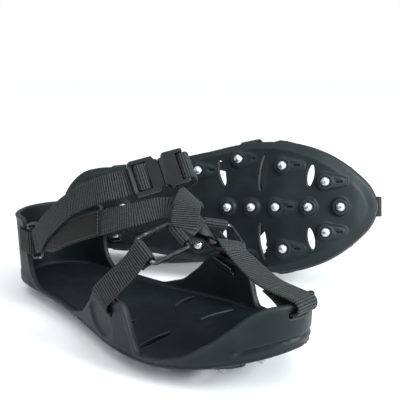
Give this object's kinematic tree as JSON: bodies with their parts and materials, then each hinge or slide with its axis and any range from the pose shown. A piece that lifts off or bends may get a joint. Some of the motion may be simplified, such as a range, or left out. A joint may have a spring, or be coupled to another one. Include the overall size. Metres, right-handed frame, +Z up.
{
  "type": "shoe ice cleats",
  "caption": "Pair of strap-on rubber overshoe ice cleats with screw-in studs, slotted soles, wire-ring webbing harnesses and side-release ankle buckles.",
  "frame": {"origin": "middle of the pair's bounding box, on the ground", "axes": "+X to the toe of the standing right cleat, +Y from it to the left cleat, which lies on its side, +Z up"},
  "size_m": [0.3712, 0.3174, 0.1464],
  "materials": {
    "rubber": "moulded satin",
    "stud": "bright zinc-plated steel",
    "webbing": "ribbed woven webbing",
    "label": "plain woven label, blank",
    "ring": "black-coated bent wire",
    "plastic": "moulded acetal with a soft sheen"
  },
  "bodies": {
    "right_cleat": {"right_sole": "rubber", "right_stud_01": "stud", "right_stud_02": "stud", "right_stud_03": "stud", "right_stud_04": "stud", "right_stud_05": "stud", "right_stud_06": "stud", "right_stud_07": "stud", "right_stud_08": "stud", "right_stud_09": "stud", "right_stud_10": "stud", "right_stud_11": "stud", "right_stud_12": "stud", "right_stud_13": "stud", "right_stud_14": "stud", "right_stud_15": "stud", "right_stud_16": "stud", "right_stud_17": "stud", "right_stud_18": "stud", "right_heel_loop_outer": "webbing", "right_heel_ring_outer": "ring", "right_instep_ring_outer": "ring", "right_side_strap_outer": "webbing", "right_heel_loop_inner": "webbing", "right_heel_ring_inner": "ring", "right_instep_ring_inner": "ring", "right_side_strap_inner": "webbing", "right_crossing_strap": "webbing", "right_toe_strap": "webbing", "right_label_patch": "label", "right_ankle_strap_outer": "webbing", "right_ankle_anchor_inner": "webbing", "right_buckle_male": "plastic"},
    "right_strap_flap": {"right_ankle_strap_inner": "webbing", "right_buckle_female": "plastic"},
    "right_prong_low": {"right_buckle_prong_low": "plastic"},
    "right_prong_high": {"right_buckle_prong_high": "plastic"},
    "left_cleat": {"left_sole": "rubber", "left_heel_loop_outer": "webbing", "left_heel_ring_outer": "ring", "left_instep_ring_outer": "ring", "left_side_strap_outer": "webbing", "left_heel_loop_inner": "webbing", "left_heel_ring_inner": "ring", "left_instep_ring_inner": "ring", "left_side_strap_inner": "webbing", "left_crossing_strap": "webbing", "left_toe_strap": "webbing", "left_label_patch": "label", "left_ankle_strap_outer": "webbing", "left_ankle_anchor_inner": "webbing", "left_buckle_male": "plastic"},
    "left_strap_flap": {"left_ankle_strap_inner": "webbing", "left_buckle_female": "plastic"},
    "left_prong_low": {"left_buckle_prong_low": "plastic"},
    "left_prong_high": {"left_buckle_prong_high": "plastic"}
  },
  "joints": [
    {"name": "left_cleat_apart", "type": "slide", "parent": "right_cleat", "child": "left_cleat", "axis": [-0.5039, 0.8638, 0], "range_m": [0, 0.2]},
    {"name": "right_strap_swing", "type": "hinge", "parent": "right_cleat", "child": "right_strap_flap", "pos_m": [-0.03919, -0.03797, 0.07815], "axis": [-0.4512, 0, 0.8924], "range_deg": [0, 55]},
    {"name": "right_prong_low_flex", "type": "hinge", "parent": "right_cleat", "child": "right_prong_low", "pos_m": [0.04677, -0.09228, 0.13727], "axis": [0.7835, -0.4786, 0.3963], "range_deg": [-10, 0], "stiffness_Nm_per_rad": 0.02},
    {"name": "right_prong_high_flex", "type": "hinge", "parent": "right_cleat", "child": "right_prong_high", "pos_m": [0.05508, -0.09228, 0.12085], "axis": [0.7835, -0.4786, 0.3963], "range_deg": [0, 10], "stiffness_Nm_per_rad": 0.02},
    {"name": "left_strap_swing", "type": "hinge", "parent": "left_cleat", "child": "left_strap_flap", "pos_m": [-0.11042, 0.0582, 0.10533], "axis": [0.8259, -0.5221, 0.2127], "range_deg": [0, 55]},
    {"name": "left_prong_low_flex", "type": "hinge", "parent": "left_cleat", "child": "left_prong_low", "pos_m": [-0.05742, 0.14434, 0.04529], "axis": [-0.5507, -0.6671, 0.5016], "range_deg": [-10, 0], "stiffness_Nm_per_rad": 0.02},
    {"name": "left_prong_high_flex", "type": "hinge", "parent": "left_cleat", "child": "left_prong_high", "pos_m": [-0.04222, 0.13474, 0.04921], "axis": [-0.5507, -0.6671, 0.5016], "range_deg": [0, 10], "stiffness_Nm_per_rad": 0.02}
  ],
  "couplings": [
    {"joint": "right_prong_high_flex", "follows": "right_prong_low_flex", "ratio": -1},
    {"joint": "left_prong_high_flex", "follows": "left_prong_low_flex", "ratio": -1}
  ]
}
